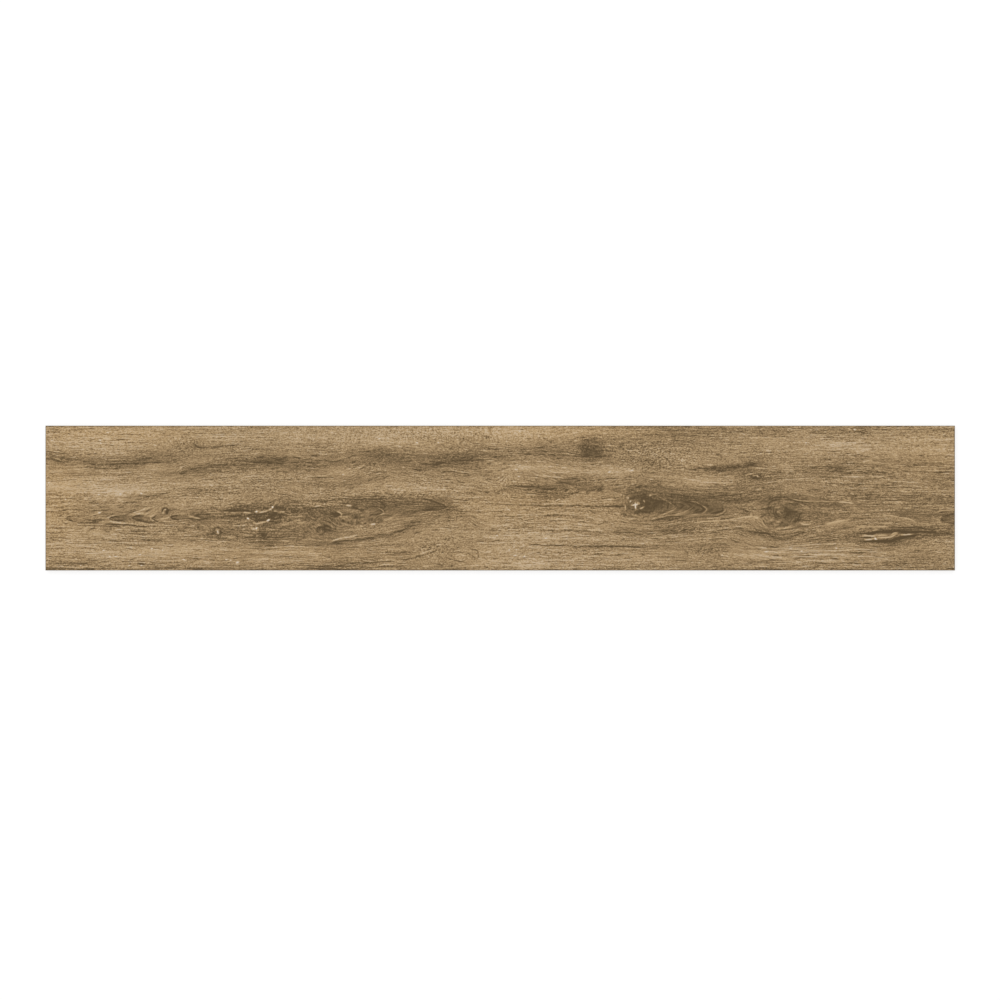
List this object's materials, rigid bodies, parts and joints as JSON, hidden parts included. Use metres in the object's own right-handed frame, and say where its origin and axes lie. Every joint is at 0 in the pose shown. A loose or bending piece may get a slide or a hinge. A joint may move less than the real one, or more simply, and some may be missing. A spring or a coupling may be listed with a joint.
{
  "type": "wood look porcelain plank tile",
  "caption": "Long rectangular porcelain floor plank with a printed and embossed wood-look face, finely bevelled ground edges and a ribbed back that keys into tile adhesive.",
  "frame": {"origin": "centre of the keyed back, on the plane of its rib crests", "axes": "+X along the plank and its printed grain, +Y across it, +Z out of the printed face"},
  "size_m": [1.2, 0.191, 0.0095],
  "materials": {
    "wood_look_porcelain": "matt printed oak figure with knots on an embossed face, bare beige porcelain on the ground edges and the back"
  },
  "bodies": {
    "root": {"plank_tile": "wood_look_porcelain"}
  },
  "joints": []
}
